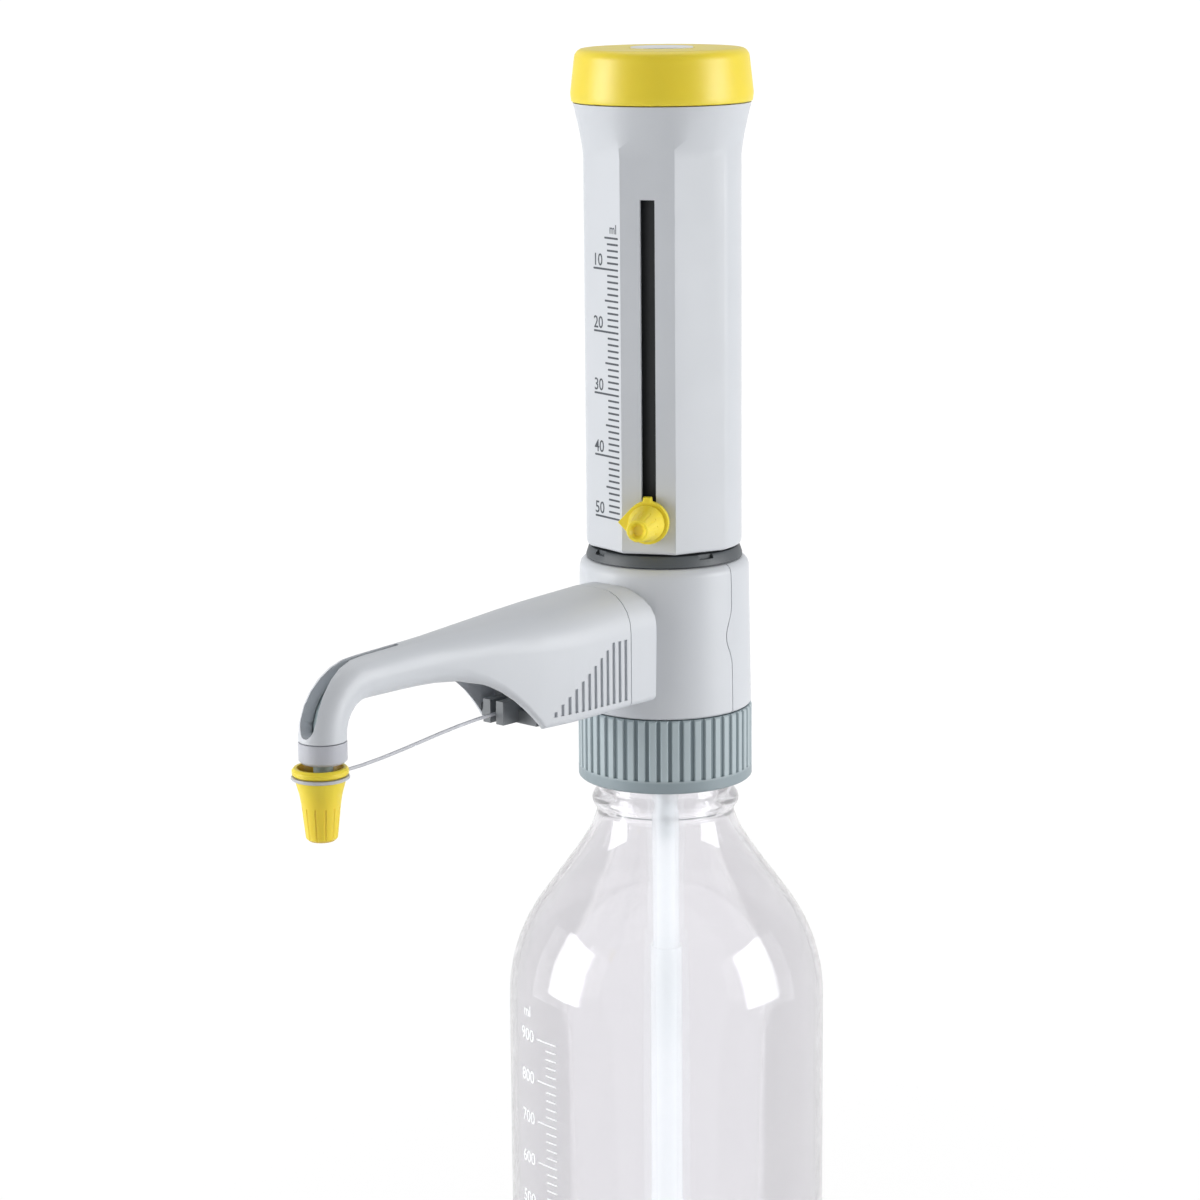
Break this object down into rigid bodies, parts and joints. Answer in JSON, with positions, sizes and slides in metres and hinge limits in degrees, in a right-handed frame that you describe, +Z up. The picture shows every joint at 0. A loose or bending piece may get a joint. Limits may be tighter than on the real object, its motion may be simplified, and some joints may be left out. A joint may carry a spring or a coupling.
{
  "type": "bottle top dispenser",
  "caption": "Piston dispenser with a volume slide and a curved spout, screwed on a clear laboratory bottle.",
  "frame": {"origin": "centre of the bottle's pushed-up base, which is within 2 mm of the surface that the bottle stands on", "axes": "+Z up along the bottle and the piston; the spout points along -X; the near flank in the picture faces -Y"},
  "size_m": [0.2066, 0.101, 0.4333],
  "materials": {
    "glass": "clear, polished",
    "pale_plastic": "fine satin",
    "collar_plastic": "satin",
    "dark_plastic": "satin",
    "yellow_plastic": "moulded",
    "white_polymer": "white fluoropolymer",
    "strap_polymer": "flexible",
    "milky_polymer": "milky fluoropolymer",
    "clear_tube": "clear fluoropolymer",
    "filling_tube": "translucent fluoropolymer",
    "ceramic": "ground ceramic ball",
    "steel": "machined"
  },
  "bodies": {
    "bottle": {"bottle_glass": "glass", "bottle_seal": "white_polymer"},
    "retainer": {"collar_retainer": "pale_plastic"},
    "collar": {"threaded_collar": "collar_plastic"},
    "valve_block": {"front_casing": "pale_plastic", "rear_casing": "pale_plastic", "valve_core": "milky_polymer", "filling_valve_body": "milky_polymer", "filling_tube_upper": "filling_tube", "cylinder_seal": "white_polymer", "dispensing_cylinder": "glass", "cylinder_sleeve": "dark_plastic", "stop_ring": "dark_plastic"},
    "filling_ball": {"filling_valve_ball": "ceramic"},
    "lower_tube": {"filling_tube_lower": "filling_tube"},
    "vent_cap": {"air_vent_cap": "pale_plastic"},
    "safety_ring": {"safety_ring": "dark_plastic"},
    "piston_unit": {"housing": "pale_plastic", "top_cap": "yellow_plastic", "cap_disc": "white_polymer", "piston_rod": "milky_polymer", "piston": "white_polymer", "piston_seal": "milky_polymer", "calibration_nut": "steel"},
    "pointer": {"volume_pointer": "yellow_plastic", "pointer_block": "dark_plastic"},
    "knob": {"pointer_knob": "yellow_plastic"},
    "coupling": {"discharge_coupling": "milky_polymer", "coupling_seal": "dark_plastic"},
    "discharge_ball": {"discharge_valve_ball": "ceramic"},
    "spout": {"spout_housing": "pale_plastic", "discharge_tube": "clear_tube", "nozzle_sleeve": "clear_tube", "cap_holder": "pale_plastic"},
    "strap": {"cap_strap": "strap_polymer"},
    "tip_cap": {"tip_cap": "yellow_plastic"}
  },
  "joints": [
    {"name": "thread_lift", "type": "slide", "parent": "bottle", "child": "retainer", "axis": [0, 0, 1], "range_m": [0, 0.012]},
    {"name": "collar_turn", "type": "hinge", "parent": "retainer", "child": "collar", "pos_m": [0, 0, 0.225], "axis": [0, 0, 1], "range_deg": [0, 1080]},
    {"name": "block_swivel", "type": "hinge", "parent": "retainer", "child": "valve_block", "pos_m": [0, 0, 0.2287], "axis": [0, 0, 1], "continuous": true},
    {"name": "filling_ball_lift", "type": "slide", "parent": "valve_block", "child": "filling_ball", "axis": [0, 0, 1], "range_m": [0, 0.0008]},
    {"name": "tube_telescope", "type": "slide", "parent": "valve_block", "child": "lower_tube", "axis": [0, 0, 1], "range_m": [0, 0.045]},
    {"name": "vent_cap_turn", "type": "hinge", "parent": "valve_block", "child": "vent_cap", "pos_m": [0.0273, 0, 0.2512], "axis": [1, 0, 0], "range_deg": [0, 90]},
    {"name": "safety_ring_turn", "type": "hinge", "parent": "valve_block", "child": "safety_ring", "pos_m": [0, 0, 0.276], "axis": [0, 0, 1], "range_deg": [0, 30]},
    {"name": "piston_stroke", "type": "slide", "parent": "valve_block", "child": "piston_unit", "axis": [0, 0, 1], "range_m": [0, 0.096]},
    {"name": "volume_set", "type": "slide", "parent": "piston_unit", "child": "pointer", "axis": [0, 0, 1], "range_m": [0, 0.0864]},
    {"name": "knob_turn", "type": "hinge", "parent": "pointer", "child": "knob", "pos_m": [-0.01972, -0.01139, 0.2903], "axis": [-0.866, -0.5, 0], "range_deg": [0, 180]},
    {"name": "spout_pull_off", "type": "slide", "parent": "valve_block", "child": "coupling", "axis": [-1, 0, 0], "range_m": [0, 0.02]},
    {"name": "discharge_ball_lift", "type": "slide", "parent": "coupling", "child": "discharge_ball", "axis": [-1, 0, 0], "range_m": [0, 0.0008]},
    {"name": "spout_unlock", "type": "slide", "parent": "coupling", "child": "spout", "axis": [0, 0, 1], "range_m": [0, 0.0035]},
    {"name": "strap_swing", "type": "hinge", "parent": "spout", "child": "strap", "pos_m": [-0.0735, 0, 0.2383], "axis": [0, -1, 0], "range_deg": [0, 90]},
    {"name": "tip_cap_turn", "type": "hinge", "parent": "strap", "child": "tip_cap", "pos_m": [-0.1475, 0, 0.23285], "axis": [0, 0, 1], "continuous": true}
  ],
  "couplings": [
    {"joint": "collar_turn", "follows": "thread_lift", "rad_per_m": 1570.8}
  ]
}
